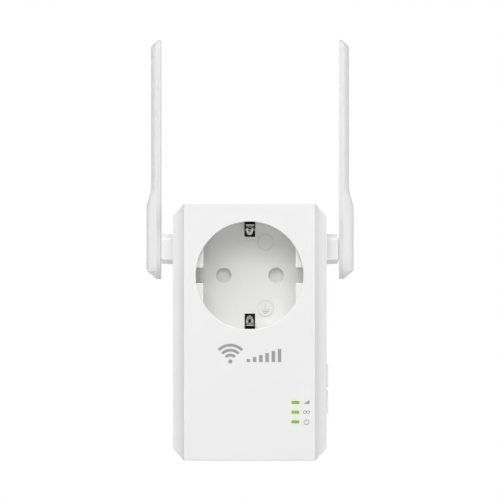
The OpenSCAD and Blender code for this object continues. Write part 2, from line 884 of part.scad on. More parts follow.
module mains_fuse() {
    color([0.2, 0.45, 0.3]) union() {
        translate([13.8, power_y - 2.6, -38]) cylinder(r = 1.5, h = 9);
        for (z = [-39.5, -28.4]) {
            rod_y(0.35, power_y - 2.9, power_y, [13.8, z]);
            translate([13.8, power_y - 2.6, z - (z < -39 ? 0 : 1)]) cylinder(r = 0.3, h = z < -39 ? 2 : 1);
        }
    }
}

module varistor() {
    color([0.2, 0.35, 0.65]) union() {
        rod_x(3.6, 12.2, 15, [power_y - 4.6, -44.2]);
        for (z = [-45.7, -42.7]) rod_y(0.3, power_y - 2, power_y, [13.6, z]);
    }
}

module power_chips() {
    color(dark_plastic) {
        block([-15, power_y - 1.4, -52], [-9, power_y, -47]);
        block([-6, power_y - 1.3, -52], [-2, power_y, -47]);
        block([1, power_y - 1.3, -60.5], [6, power_y, -56]);
    }
}

// Four straight pins that join the two boards
module board_header() {
    color(brass) union() {
        block([header_at[0] - 1, main_back_y + 0.5, header_at[1] - 4.4],
            [header_at[0] + 1, main_back_y + 3, header_at[1] + 4.4]);
        for (i = [-1.5:1.5]) block(
            [header_at[0] - 0.35, main_back_y, header_at[1] + i * header_pitch - 0.35],
            [header_at[0] + 0.35, power_y + 0.5, header_at[1] + i * header_pitch + 0.35]);
    }
}

// ---- Radio board ----

module main_board() {
    notch = 7.3;
    color(board_green) difference() {
        block([-main_x, main_y, main_bottom], [main_x, main_back_y, main_top]);
        for (side = [-1, 1]) translate([side * main_x, (main_y + main_back_y) / 2, main_bottom])
            cube([2 * notch, 3, 2 * notch], center = true);
        for (at = board_screw_at) rod_y(1, main_y - 1, main_back_y + 1, at);
    }
}

module board_screws() {
    color(metal) for (at = board_screw_at) pan_screw(main_back_y, at, 1.7, 1.2, 0.8, 7);
}

shield_low = [-15, main_y - 3, -45];
shield_high = [9, main_y, -30];

module rf_shield() {
    sheet = 0.3;
    in = [sheet, 0, sheet];
    color(metal) difference() {
        block(shield_low, shield_high);
        block(shield_low + in + [0, sheet, 0], shield_high - in + [0, 1, 0]);
    }
}

module wifi_chip() {
    color(dark_plastic) block([-8, main_y - 1.2, -42.5], [2, main_y, -32.5]);
}

module thermal_pad() {
    color([0.6, 0.65, 0.75]) block([-7.5, main_y - 2.7, -42], [1.5, main_y - 1.2, -33]);
}

module lan_magnetics() {
    color(dark_plastic) block([-16, main_y - 2.6, -60.5], [-3, main_y, -52.5]);
}

module ethernet_jack() {
    mouth_y = main_back_y + 5.5;
    color(dark_plastic) difference() {
        block([jack_x - jack_w / 2, main_back_y, jack_bottom],
            [jack_x + jack_w / 2, main_back_y + jack_d, jack_bottom + jack_h]);
        block([jack_x - jack_mouth_w / 2, mouth_y - jack_mouth_d / 2, jack_bottom - 1],
            [jack_x + jack_mouth_w / 2, mouth_y + jack_mouth_d / 2, jack_bottom + jack_mouth_h]);
        block([jack_x - 3, mouth_y, jack_bottom - 1],
            [jack_x + 3, mouth_y + jack_mouth_d / 2 + 2.4, jack_bottom + jack_mouth_h - 4]);
        for (i = [-3.5:3.5]) block([jack_x + i * 1.02 - 0.25, main_back_y + 0.9, jack_bottom + 2.4],
            [jack_x + i * 1.02 + 0.25, mouth_y, jack_bottom + jack_mouth_h + 3]);
    }
}

module jack_contacts() {
    wire = 0.3;
    color(brass) for (i = [-3.5:3.5])
        along_x(jack_x + i * 1.02 - wire / 2, jack_x + i * 1.02 + wire / 2) polygon([
            [main_back_y + 1, jack_bottom + 16.9], [main_back_y + 1, jack_bottom + 3],
            [main_back_y + 1.3, jack_bottom + 2.6], [main_back_y + 3.4, jack_bottom + 9.4],
            [main_back_y + 3.1, jack_bottom + 9.6], [main_back_y + 1.35, jack_bottom + 3.7],
            [main_back_y + 1.35, jack_bottom + 16.9]
        ]);
}

module status_leds() {
    color(light_green) for (i = [0:2]) translate([light_x, main_y - 0.4, light_top_z - i * light_pitch])
        cube([1.6, 0.8, 0.8], center = true);
}

// ---- Buttons ----

flange_x = side_x - wall - gap;
nub_end_x = flange_x - flange_t - 1.9;

module side_button(z) {
    color(cover_white) union() {
        translate([0, button_y, z]) along_x(flange_x - eps, side_x + button_proud)
            rounded(button_w, button_h, 0.5);
        block([flange_x - flange_t, button_y - button_w / 2 - flange_lip, z - button_h / 2 + 0.4],
            [flange_x, button_y + button_w / 2 - 0.2, z + button_h / 2 - 0.4]);
    }
}

module switch_plunger(z) {
    color(dark_plastic) rod_x(plunger_r, nub_end_x, flange_x - flange_t, [button_y, z]);
}

module switch_case(z) {
    case_x = flange_x - flange_t - travel - 0.4;
    color(metal) difference() {
        block([case_x - switch_d, main_back_y, z - 3], [case_x, main_back_y + switch_d, z + 3]);
        rod_x(plunger_r + 0.05, nub_end_x - travel - 0.3, case_x + 1, [button_y, z]);
    }
}

module pair_button() {
    side_button(pair_z);
}

module pair_plunger() {
    switch_plunger(pair_z);
}

module pair_switch() {
    switch_case(pair_z);
}

module reset_button() {
    side_button(reset_z);
}

module reset_plunger() {
    switch_plunger(reset_z);
}

module reset_switch() {
    switch_case(reset_z);
}

// ---- Antennas, drawn on the +x side ----

// Half the blade's width at height z: full, but rounded off at both ends
function end_round(d, r) = d < r ? r - sqrt(max(0, r * r - (r - d) * (r - d))) : 0;
function half_width(z) =
    blade_w / 2 - end_round(z - blade_bottom, foot_r) - end_round(blade_top - z, tip_r);

// Thickness at height z: sloped foot, full foot, step, slim blade, sloped tip
function thickness(z) =
    let (up = z - blade_bottom, down = blade_top - z)
    up < foot_cut ? inner_t + 0.05 + (foot_t - inner_t - 0.05) * up / foot_cut :
    z < step_z ? foot_t :
    z < step_mid_z ? foot_t - (foot_t - step_mid_t) * (z - step_z) / (step_mid_z - step_z) :
    z < step_top_z ? blade_t + (step_mid_t - blade_t) * pow((step_top_z - z) / (step_top_z - step_mid_z), 2) :
    down < tip_cut ? tip_t + (blade_t - tip_t) * down / tip_cut : blade_t;

// The blade's section at height z: flat inner face, flat inner corners, bowed outer face
function blade_ring(z, inset) =
    let (w = half_width(z) - inset, t = thickness(z) - inset, c = min(inner_t, t - 0.1), bow = 20)
    concat(
        [for (i = [0:bow]) let (s = sin(180 * i / bow - 90)) [c + (t - c) * (1 - pow(abs(s), 2.2)), w * s]],
        [[0, w - inner_cut], [0, inner_cut - w]]
    );

function blade_levels() = concat(
    [for (i = [0:3]) blade_bottom + foot_r * (1 - cos(15 * i))],
    [blade_bottom + foot_cut],
    [for (i = [5, 6]) blade_bottom + foot_r * (1 - cos(15 * i))],
    [step_z],
    [for (i = [0:4]) step_mid_z + (step_top_z - step_mid_z) * i / 4],
    [blade_top - tip_r, blade_top - tip_cut],
    [for (i = [3:-1:0]) blade_top - tip_r * (1 - cos(18 * i))]
);

module blade(inset = 0) {
    levels = blade_levels();
    rings = [for (z = levels) blade_ring(z, inset)];
    n = len(rings[0]);
    points = [for (i = [0:len(levels) - 1], p = rings[i]) [antenna_x + p[0], pivot_y + p[1], levels[i]]];
    last = (len(levels) - 1) * n;
    polyhedron(points = points, faces = concat(
        [[for (k = [0:n - 1]) k]],
        [for (i = [0:len(levels) - 2], k = [0:n - 1]) let (a = i * n + k, b = i * n + (k + 1) % n)
            [a, a + n, b + n, b]],
        [[for (k = [n - 1:-1:0]) last + k]]
    ));
}

shell_split_x = antenna_x + inner_t;

module blade_cavity() {
    intersection() {
        blade(skin);
        block([antenna_x + skin, -big, blade_bottom + 3.5], [big, big, blade_top - 3.5]);
    }
}

module outer_shell() {
    color(cover_white) difference() {
        intersection() {
            blade();
            block([shell_split_x, -big, -big], [big, big, big]);
        }
        blade_cavity();
    }
}

module inner_shell() {
    color(cover_white) difference() {
        intersection() {
            blade();
            block([0, -big, -big], [shell_split_x, big, big]);
        }
        blade_cavity();
        rod_x(disc_r + 0.05, antenna_x - 1, shell_split_x + 1, [pivot_y, pivot_z]);
    }
}

module radiator() {
    strip_x = antenna_x + skin + 0.3;
    color([0.75, 0.5, 0.25]) union() {
        block([strip_x, pivot_y - 4.5, pivot_z + 10], [strip_x + 0.8, pivot_y + 4.5, blade_top - 6]);
        block([strip_x, pivot_y - 1, pivot_z + 5], [strip_x + 0.8, pivot_y + 1, pivot_z + 10 + eps]);
    }
}

// The hinge barrel: square foot inside the antenna, disc in the gap, hollow shaft into the housing
module hinge() {
    color([0.85, 0.85, 0.85]) difference() {
        union() {
            block([antenna_x + skin + 0.05, pivot_y - 4.7, pivot_z - 4.7],
                [antenna_x + skin + 1.5, pivot_y + 4.7, pivot_z + 4.7]);
            rod_x(disc_r, knuckle_end_x + 0.05, antenna_x + skin + 0.1, [pivot_y, pivot_z]);
            rod_x(shaft_r, shaft_end_x, knuckle_end_x + 1, [pivot_y, pivot_z]);
        }
        rod_x(shaft_bore_r, shaft_end_x - 1, antenna_x + 10, [pivot_y, pivot_z]);
        difference() {
            rod_x(shaft_r + 1, clip_x - 0.05, clip_x + clip_t + 0.05, [pivot_y, pivot_z]);
            rod_x(shaft_r - 0.4, clip_x - 1, clip_x + 2, [pivot_y, pivot_z]);
        }
    }
}

module washer() {
    at = [pivot_y, pivot_z];
    color(metal) difference() {
        rod_x(4.2, side_x - wall - washer_t, side_x - wall, at);
        rod_x(shaft_r + 0.15, side_x - wall - 2, side_x, at);
    }
}

module clip() {
    color(metal) difference() {
        rod_x(4, clip_x, clip_x + clip_t, [pivot_y, pivot_z]);
        rod_x(shaft_r - 0.38, clip_x - 1, clip_x + 2, [pivot_y, pivot_z]);
        block([clip_x - 1, pivot_y - 1.6, pivot_z - 6], [clip_x + 2, pivot_y + 1.6, pivot_z]);
    }
}

// The coaxial lead: along the hinge axis, down beside the wall and forward to the radio board
module coax() {
    color(dark_plastic) union() {
        rod_x(coax_r, coax_x + coax_bend, antenna_x + skin + 1, [pivot_y, pivot_z]);
        translate([coax_x + coax_bend, pivot_y, pivot_z - coax_bend]) rotate([90, 0, 0])
            rotate([0, 0, 90]) rotate_extrude(angle = 90) translate([coax_bend, 0]) circle(coax_r);
        translate([coax_x, pivot_y, coax_end_z + coax_bend])
            cylinder(r = coax_r, h = pivot_z - coax_bend - coax_end_z - coax_bend);
        translate([coax_x, pivot_y - coax_bend, coax_end_z + coax_bend]) rotate([0, 90, 0])
            rotate_extrude(angle = 90) translate([coax_bend, 0]) circle(coax_r);
        rod_y(coax_r, main_back_y + 1, pivot_y - coax_bend, [coax_x, coax_end_z]);
        rod_y(1.2, main_back_y, main_back_y + 1.2, [coax_x, coax_end_z]);
    }
}

module antenna_right_outer_shell() {
    outer_shell();
}

module antenna_right_inner_shell() {
    inner_shell();
}

module antenna_right_radiator() {
    radiator();
}

module antenna_right_hinge() {
    hinge();
}

module antenna_right_washer() {
    washer();
}

module antenna_right_clip() {
    clip();
}

module antenna_right_coax() {
    coax();
}

module antenna_left_outer_shell() {
    mirror([1, 0, 0]) outer_shell();
}

module antenna_left_inner_shell() {
    mirror([1, 0, 0]) inner_shell();
}

module antenna_left_radiator() {
    mirror([1, 0, 0]) radiator();
}

module antenna_left_hinge() {
    mirror([1, 0, 0]) hinge();
}

module antenna_left_washer() {
    mirror([1, 0, 0]) washer();
}

module antenna_left_clip() {
    mirror([1, 0, 0]) clip();
}

module antenna_left_coax() {
    mirror([1, 0, 0]) coax();
}

front_cover();
rear_shell();
plug_boss();
housing_screws();
front_print();
rating_label();
light_pipe();
socket_well();
socket_screws();
shutter();
shutter_spring();
contact_carrier();
carrier_screws();
live_contact();
neutral_contact();
earth_bracket();
earth_sleeve();
plug_pin_left();
plug_pin_right();
live_lead();
neutral_lead();
insulation_barrier();
power_board();
transformer_core();
transformer_winding();
bulk_capacitors();
output_capacitor();
mains_fuse();
varistor();
power_chips();
board_header();
main_board();
board_screws();
rf_shield();
wifi_chip();
thermal_pad();
lan_magnetics();
ethernet_jack();
jack_contacts();
status_leds();
pair_button();
pair_plunger();
pair_switch();
reset_button();
reset_plunger();
reset_switch();
antenna_left_outer_shell();
antenna_left_inner_shell();
antenna_left_radiator();
antenna_left_hinge();
antenna_left_washer();
antenna_left_clip();
antenna_left_coax();
antenna_right_outer_shell();
antenna_right_inner_shell();
antenna_right_radiator();
antenna_right_hinge();
antenna_right_washer();
antenna_right_clip();
antenna_right_coax();
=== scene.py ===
import json
import math

import bmesh
import bpy
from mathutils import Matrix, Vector

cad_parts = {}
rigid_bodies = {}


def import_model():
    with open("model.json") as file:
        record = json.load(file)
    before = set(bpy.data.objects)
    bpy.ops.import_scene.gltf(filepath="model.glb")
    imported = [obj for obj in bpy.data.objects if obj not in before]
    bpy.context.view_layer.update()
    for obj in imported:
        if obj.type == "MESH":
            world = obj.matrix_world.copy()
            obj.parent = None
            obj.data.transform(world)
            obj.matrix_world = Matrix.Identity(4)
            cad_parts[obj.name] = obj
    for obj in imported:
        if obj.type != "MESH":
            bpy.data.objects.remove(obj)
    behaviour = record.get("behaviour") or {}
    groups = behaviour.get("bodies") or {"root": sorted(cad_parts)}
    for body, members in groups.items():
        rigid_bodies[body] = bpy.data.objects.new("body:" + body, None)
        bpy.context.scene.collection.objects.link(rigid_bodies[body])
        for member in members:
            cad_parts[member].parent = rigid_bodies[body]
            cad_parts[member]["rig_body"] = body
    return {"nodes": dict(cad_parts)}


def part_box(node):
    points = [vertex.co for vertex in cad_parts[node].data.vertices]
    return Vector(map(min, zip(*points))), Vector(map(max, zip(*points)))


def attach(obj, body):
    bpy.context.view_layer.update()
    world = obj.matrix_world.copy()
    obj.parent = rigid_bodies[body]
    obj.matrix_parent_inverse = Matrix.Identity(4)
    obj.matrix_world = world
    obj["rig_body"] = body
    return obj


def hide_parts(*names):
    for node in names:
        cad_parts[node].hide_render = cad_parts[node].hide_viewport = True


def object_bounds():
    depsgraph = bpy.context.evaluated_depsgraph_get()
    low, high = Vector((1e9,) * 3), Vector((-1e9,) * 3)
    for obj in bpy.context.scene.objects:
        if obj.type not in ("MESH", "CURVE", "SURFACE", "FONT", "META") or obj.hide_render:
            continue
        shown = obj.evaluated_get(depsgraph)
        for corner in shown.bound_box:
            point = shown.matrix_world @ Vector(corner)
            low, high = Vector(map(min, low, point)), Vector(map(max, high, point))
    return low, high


# A Wi-Fi range extender with a pass-through socket and two hinged antennas. Each CAD node that can
# be seen gets a finely rounded piece with a material of its own, under a plain catalogue light.

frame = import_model()
cad_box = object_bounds()

MM = 0.001
NODES = frame["nodes"]

# ---- Node helpers ----


def shader(name, colour, roughness, metallic=0.0):
    """A new material with a Principled BSDF, and its tree."""
    material = bpy.data.materials.new(name)
    material.use_nodes = True
    tree = material.node_tree
    bsdf = tree.nodes["Principled BSDF"]
    bsdf.inputs["Base Color"].default_value = (*colour, 1)
    bsdf.inputs["Roughness"].default_value = roughness
    bsdf.inputs["Metallic"].default_value = metallic
    return material, tree, bsdf


def place(tree, stretch=(1, 1, 1)):
    """Object coordinates in millimetres, stretched along each axis."""
    coords = tree.nodes.new("ShaderNodeTexCoord")
    mapping = tree.nodes.new("ShaderNodeMapping")
    mapping.inputs["Scale"].default_value = [s / MM for s in stretch]
    tree.links.new(coords.outputs["Object"], mapping.inputs["Vector"])
    return mapping.outputs["Vector"]


def noise(tree, vector, size, detail=2.0, rough=0.5):
    """Noise whose features are about size millimetres across."""
    node = tree.nodes.new("ShaderNodeTexNoise")
    node.inputs["Scale"].default_value = 1 / size
    node.inputs["Detail"].default_value = detail
    node.inputs["Roughness"].default_value = rough
    tree.links.new(vector, node.inputs["Vector"])
    return node.outputs["Fac"]


def spread(tree, value, low, high):
    """Takes a value that stays about 0.5 to the range from low to high."""
    node = tree.nodes.new("ShaderNodeMapRange")
    node.inputs["From Min"].default_value = 0.3
    node.inputs["From Max"].default_value = 0.7
    node.inputs["To Min"].default_value = low
    node.inputs["To Max"].default_value = high
    tree.links.new(value, node.inputs["Value"])
    return node.outputs["Result"]


def blend_colour(tree, share, colour_a, colour_b):
    """colour_a at share 0 and colour_b at share 1; each is a colour or a socket."""
    node = tree.nodes.new("ShaderNodeMix")
    node.data_type = "RGBA"
    tree.links.new(share, node.inputs["Factor"])
    for socket, colour in zip(("A", "B"), (colour_a, colour_b)):
        target = next(i for i in node.inputs if i.name == socket and i.type == "RGBA")
        if isinstance(colour, bpy.types.NodeSocket):
            tree.links.new(colour, target)
        else:
            target.default_value = (*colour, 1)
    return next(o for o in node.outputs if o.type == "RGBA")


def calculate(tree, operation, a, b):
    """A Math node on sockets or numbers."""
    node = tree.nodes.new("ShaderNodeMath")
    node.operation = operation
    for i, value in enumerate((a, b)):
        if isinstance(value, bpy.types.NodeSocket):
            tree.links.new(value, node.inputs[i])
        else:
            node.inputs[i].default_value = value
    return node.outputs[0]


def relief(tree, bsdf, height, depth, strength=1.0):
    """Bump of the given depth in millimetres."""
    node = tree.nodes.new("ShaderNodeBump")
    node.inputs["Distance"].default_value = depth * MM
    node.inputs["Strength"].default_value = strength
    tree.links.new(height, node.inputs["Height"])
    tree.links.new(node.outputs["Normal"], bsdf.inputs["Normal"])


def marked(tree, name):
    """1 on the faces that rounded_copy marks for edge wear with a painted highlight, or for painted shade,
    0 elsewhere.
    """
    node = tree.nodes.new("ShaderNodeAttribute")
    node.attribute_name = name
    return node.outputs["Fac"]


def darker(colour, factor):
    """A colour scaled down by a factor, or up by one over 1."""
    return tuple(c * factor for c in colour)


# ---- Materials ----


def moulded(name, colour, roughness, grain=0.25, depth=0.006, wear_and_highlight=0.5, specular=0.5):
    """Injection-moulded plastic: fine spark-eroded grain, faint flow marks, edges rubbed smoother and
    lightened as a painted highlight, marked hollows darkened with painted shade.
    """
    material, tree, bsdf = shader(name, colour, roughness)
    bsdf.inputs["Specular IOR Level"].default_value = specular
    at = place(tree)
    flow = spread(tree, noise(tree, at, 14, 3), 0, 1)
    tint = blend_colour(tree, flow, darker(colour, 0.985), colour)
    # painted shade: faces marked for shade are darkened toward 0.4 of the colour
    shade_share = calculate(tree, "MULTIPLY", marked(tree, "painted_shade"), 0.3)
    tint = blend_colour(tree, shade_share, tint, darker(colour, 0.4))
    # painted highlight: rounded edges are lightened toward 1.13 times the colour, and also rubbed smoother
    edge = calculate(tree, "MULTIPLY", marked(tree, "worn_and_highlit"), wear_and_highlight)
    painted_edge_highlight = tuple(min(1, c * 1.13 + 0.004) for c in colour)
    tree.links.new(blend_colour(tree, edge, tint, painted_edge_highlight), bsdf.inputs["Base Color"])
    patchy = spread(tree, noise(tree, at, 5, 4), roughness - 0.04, roughness + 0.05)
    rubbed = calculate(tree, "MULTIPLY", edge, -0.14)
    tree.links.new(calculate(tree, "ADD", patchy, rubbed), bsdf.inputs["Roughness"])
    grainy = calculate(tree, "ADD", noise(tree, at, grain, 4, 0.6), noise(tree, at, grain * 3.1, 1))
    relief(tree, bsdf, grainy, depth)
    return material


def metal(name, colour, roughness, brushed=(1, 1, 1), depth=0.002, tarnish=0.12):
    """Bright plated or drawn metal with fine draw lines, light tarnish and polished edges."""
    material, tree, bsdf = shader(name, colour, roughness, 1.0)
    at = place(tree, brushed)
    even = place(tree)
    dull = spread(tree, noise(tree, even, 3.2, 4), 0, tarnish)
    edge = calculate(tree, "MULTIPLY", marked(tree, "worn_and_highlit"), 0.5)
    tint = blend_colour(tree, dull, colour, darker(colour, 0.55))
    light = tuple(min(1, c * 1.12) for c in colour)
    tree.links.new(blend_colour(tree, edge, tint, light), bsdf.inputs["Base Color"])
    lines = noise(tree, at, 0.3, 3)
    tree.links.new(spread(tree, lines, roughness - 0.05, roughness + 0.09), bsdf.inputs["Roughness"])
    relief(tree, bsdf, lines, depth)
    return material


def dipped(name, colour, roughness=0.28):
    """Glossy dipped or shrunk-on skin with a slight orange peel."""
    material, tree, bsdf = shader(name, colour, roughness)
    at = place(tree)
    tint = blend_colour(tree, spread(tree, noise(tree, at, 2.5, 3), 0, 1), darker(colour, 0.85), colour)
    tree.links.new(tint, bsdf.inputs["Base Color"])
    tree.links.new(spread(tree, noise(tree, at, 1, 2), roughness - 0.06, roughness + 0.1),
                   bsdf.inputs["Roughness"])
    relief(tree, bsdf, noise(tree, at, 0.8, 2), 0.02)
    return material


def paper(name, colour, roughness=0.6):
    """Film or card with fibre in it."""
    material, tree, bsdf = shader(name, colour, roughness)
    at = place(tree, (1, 1, 3))
    fibre = noise(tree, at, 0.5, 5, 0.65)
    tree.links.new(blend_colour(tree, spread(tree, fibre, 0, 1), darker(colour, 0.95), colour),
                   bsdf.inputs["Base Color"])
    tree.links.new(spread(tree, fibre, roughness - 0.06, roughness + 0.06), bsdf.inputs["Roughness"])
    relief(tree, bsdf, fibre, 0.008)
    return material


def solder_mask(name, colour):
    """Circuit board: green mask over a faint grid of tracks, gloss broken by the glass weave."""
    material, tree, bsdf = shader(name, colour, 0.35)
    at = place(tree)
    brick = tree.nodes.new("ShaderNodeTexBrick")
    turned = tree.nodes.new("ShaderNodeMapping")
    turned.inputs["Rotation"].default_value = (math.radians(90), 0, 0)
    tree.links.new(at, turned.inputs["Vector"])
    tree.links.new(turned.outputs["Vector"], brick.inputs["Vector"])
    brick.inputs["Scale"].default_value = 0.5
    brick.inputs["Mortar Size"].default_value = 0.06
    brick.inputs["Mortar Smooth"].default_value = 0.3
    brick.inputs["Color1"].default_value = (*colour, 1)
    brick.inputs["Color2"].default_value = (*darker(colour, 0.8), 1)
    brick.inputs["Mortar"].default_value = (*darker(colour, 1.8), 1)
    tree.links.new(brick.outputs["Color"], bsdf.inputs["Base Color"])
    weave = noise(tree, at, 0.4, 2)
    tree.links.new(spread(tree, weave, 0.28, 0.42), bsdf.inputs["Roughness"])
    relief(tree, bsdf, calculate(tree, "ADD", calculate(tree, "MULTIPLY", weave, 0.3),
                                 brick.outputs["Fac"]), 0.02)
    return material


def lit_plastic(name, colour, glow, strength):
    """Diffused plastic lit from behind, glowing evenly, with a cloudy tint."""
    material, tree, bsdf = shader(name, colour, 0.3)
    at = place(tree)
    cloudy = spread(tree, noise(tree, at, 0.9, 2), 0, 1)
    tree.links.new(blend_colour(tree, cloudy, darker(colour, 0.92), colour), bsdf.inputs["Base Color"])
    tree.links.new(spread(tree, noise(tree, at, 0.4, 2), 0.26, 0.36), bsdf.inputs["Roughness"])
    bsdf.inputs["Emission Color"].default_value = (*glow, 1)
    bsdf.inputs["Emission Strength"].default_value = strength
    relief(tree, bsdf, noise(tree, at, 0.5, 2), 0.01)
    return material


def ink(name, colour):
    """Pad-printed ink: slightly uneven cover over the grain below."""
    material, tree, bsdf = shader(name, colour, 0.55)
    at = place(tree)
    cover = spread(tree, noise(tree, at, 0.35, 4, 0.6), 0, 1)
    light = tuple(c * 1.12 + 0.01 for c in colour)
    tree.links.new(blend_colour(tree, cover, colour, light), bsdf.inputs["Base Color"])
    tree.links.new(spread(tree, noise(tree, at, 0.6, 2), 0.5, 0.62), bsdf.inputs["Roughness"])
    relief(tree, bsdf, noise(tree, at, 0.25, 4, 0.6), 0.006)
    return material


FINISHES = {
    # white_shell, white_well and ferrite paint a strong highlight on their rounded edges
    "white_shell": moulded("white_shell", (0.86, 0.86, 0.857), 0.46, wear_and_highlight=0.9),
    "white_well": moulded("white_well", (0.84, 0.84, 0.836), 0.38, grain=0.3, depth=0.004, wear_and_highlight=0.9),
    "print_grey": ink("print_grey", (0.315, 0.315, 0.318)),
    "label_film": paper("label_film", (0.74, 0.75, 0.76), 0.42),
    "light_green": lit_plastic("light_green", (0.27, 0.43, 0.075), (0.3, 0.55, 0.07), 0.1),
    "hinge_white": moulded("hinge_white", (0.78, 0.78, 0.772), 0.4, grain=0.3),
    "black_plastic": moulded("black_plastic", (0.022, 0.022, 0.024), 0.5, grain=0.3, depth=0.012),
    "nickel": metal("nickel", (0.72, 0.7, 0.67), 0.24, (1, 0.2, 1)),
    "spring_steel": metal("spring_steel", (0.58, 0.58, 0.58), 0.28),
    "screw_steel": metal("screw_steel", (0.5, 0.5, 0.49), 0.34),
    "contact_brass": metal("contact_brass", (0.72, 0.55, 0.26), 0.26, (1, 0.2, 1)),
    "board_green": solder_mask("board_green", (0.016, 0.15, 0.07)),
    "ferrite": moulded("ferrite", (0.05, 0.05, 0.054), 0.7, grain=0.4, depth=0.03, wear_and_highlight=0.9),
    "tape_yellow": dipped("tape_yellow", (0.75, 0.56, 0.08), 0.4),
    "can_sleeve": dipped("can_sleeve", (0.02, 0.03, 0.07)),
    "shield_tin": metal("shield_tin", (0.66, 0.66, 0.65), 0.32, (0.3, 1, 1)),
    "pad_grey": paper("pad_grey", (0.33, 0.38, 0.46), 0.75),
    "blue_epoxy": dipped("blue_epoxy", (0.03, 0.12, 0.48)),
    "green_epoxy": dipped("green_epoxy", (0.05, 0.24, 0.09)),
    "lead_brown": dipped("lead_brown", (0.15, 0.06, 0.02), 0.45),
    "lead_blue": dipped("lead_blue", (0.03, 0.1, 0.4), 0.45),
    "barrier_card": paper("barrier_card", (0.82, 0.8, 0.7)),
    "led_lens": lit_plastic("led_lens", (0.82, 0.84, 0.48), (0.8, 0.85, 0.4), 0.12),
}
for slot_name, finish in FINISHES.items():
    finish.name = slot_name  # takes over the name of the frame's plain material


def slot_of(node):
    """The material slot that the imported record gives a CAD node."""
    return NODES[node].data.materials[0].name.split(".")[0]


# ---- Meshes from the frame ----


def body_of(node):
    """The moving body that a CAD node belongs to."""
    return NODES[node]["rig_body"]


def clean_mesh(node):
    """A CAD node's mesh with its doubled points merged and its flat faces joined."""
    bm = bmesh.new()
    bm.from_mesh(NODES[node].data)
    bmesh.ops.remove_doubles(bm, verts=bm.verts, dist=0.002 * MM)
    bmesh.ops.dissolve_limit(bm, angle_limit=math.radians(0.5), verts=bm.verts, edges=bm.edges)
    return bm


def is_sharp(edge, angle):
    """Whether two faces meet in an outward edge of more than angle degrees."""
    return edge.is_manifold and edge.is_convex and edge.calc_face_angle(0) > math.radians(angle)


def new_piece(name, bm, slot_name, body, smooth=35, weighted=True):
    """Turns a bmesh into a piece that rides on a body, shaded smooth between its rounded edges."""
    mesh = bpy.data.meshes.new(name)
    bm.to_mesh(mesh)
    bm.free()
    mesh.shade_smooth()
    mesh.set_sharp_from_angle(angle=math.radians(smooth))
    mesh.materials.append(FINISHES[slot_name])
    piece = bpy.data.objects.new(name, mesh)
    bpy.context.scene.collection.objects.link(piece)
    if weighted:
        modifier = piece.modifiers.new("Even shading", "WEIGHTED_NORMAL")
        modifier.keep_sharp = True
        modifier.weight = 80
    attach(piece, body)
    return piece


def round_edges(bm, edges, width, segments=3):
    """Rounds edges and marks the new faces for edge wear and a painted highlight."""
    mark = bm.loops.layers.float.get("worn_and_highlit") or bm.loops.layers.float.new("worn_and_highlit")
    made = bmesh.ops.bevel(bm, geom=list(edges), offset=width * MM, offset_type="OFFSET",
                           segments=segments, profile=0.5, affect="EDGES", clamp_overlap=False)
    for face in made["faces"]:
        for loop in face.loops:
            loop[mark] = 1.0


def rounded_copy(node, *passes, angle=30, segments=3, smooth=35, painted_shade=None):
    """Stands a finely rounded piece in for a CAD node.

    Each pass is a width and a test on the middle point of an edge; the first test that fits wins.
    The last argument picks the faces that are darkened with painted shade, by their middle point.
    """
    bm = clean_mesh(node)
    if painted_shade:
        mark = bm.loops.layers.float.new("painted_shade")
        for face in bm.faces:
            if painted_shade(face.calc_center_median() / MM):
                for loop in face.loops:
                    loop[mark] = 1.0
    groups = [[] for _ in passes]
    for edge in bm.edges:
        if is_sharp(edge, angle):
            middle = (edge.verts[0].co + edge.verts[1].co) / 2 / MM
            for group, (_, fits) in zip(groups, passes):
                if fits(middle):
                    group.append(edge)
                    break
    for group, (width, _) in zip(groups, passes):
        if width:
            round_edges(bm, [edge for edge in group if edge.is_valid], width, segments)
    piece = new_piece(node + "_shape", bm, slot_of(node), body_of(node), smooth)
    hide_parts(node)
    return piece


def everywhere(_point):
    """A test for rounded_copy that every edge passes."""
    return True


def box_mm(node):
    """The low and high corners of a CAD node, in millimetres."""
    low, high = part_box(node)
    return low / MM, high / MM


def prism(bm, outline, low_y, high_y, bevel=0.0):
    """A flat outline of (x, z) points in millimetres, drawn out along y."""
    near = [bm.verts.new((x * MM, low_y * MM, z * MM)) for x, z in outline]
    far = [bm.verts.new((x * MM, high_y * MM, z * MM)) for x, z in outline]
    faces = [bm.faces.new(near), bm.faces.new(far[::-1])]
    count = len(outline)
    faces += [bm.faces.new((near[i], far[i], far[(i + 1) % count], near[(i + 1) % count]))
              for i in range(count)]
    bmesh.ops.recalc_face_normals(bm, faces=faces)
    if bevel:
        rims = {e for face in faces[:2] for e in face.edges}
        round_edges(bm, rims, bevel, 2)


def ring(bm, outer, inner, low_y, high_y):
    """The band between two outlines of (x, z) points with as many points, drawn out along y."""
    loops = [[bm.verts.new((x * MM, y * MM, z * MM)) for x, z in outline]
             for outline, y in ((outer, low_y), (inner, low_y), (inner, high_y), (outer, high_y))]
    count = len(outer)
    faces = [bm.faces.new((a[i], a[(i + 1) % count], b[(i + 1) % count], b[i]))
             for a, b in zip(loops, loops[1:] + loops[:1]) for i in range(count)]
    bmesh.ops.recalc_face_normals(bm, faces=faces)


def rounded_outline(centre, width, height, radius, steps=6):
    """A rectangle with round corners, as (x, z) points."""
    points = []
    for corner, (sx, sz) in enumerate(((1, 1), (-1, 1), (-1, -1), (1, -1))):
        for i in range(steps + 1):
            a = math.radians(90 * (corner + i / steps))
            points.append((centre[0] + sx * (width / 2 - radius) + radius * math.cos(a),
                           centre[1] + sz * (height / 2 - radius) + radius * math.sin(a)))
    return points


# ---- Housing ----

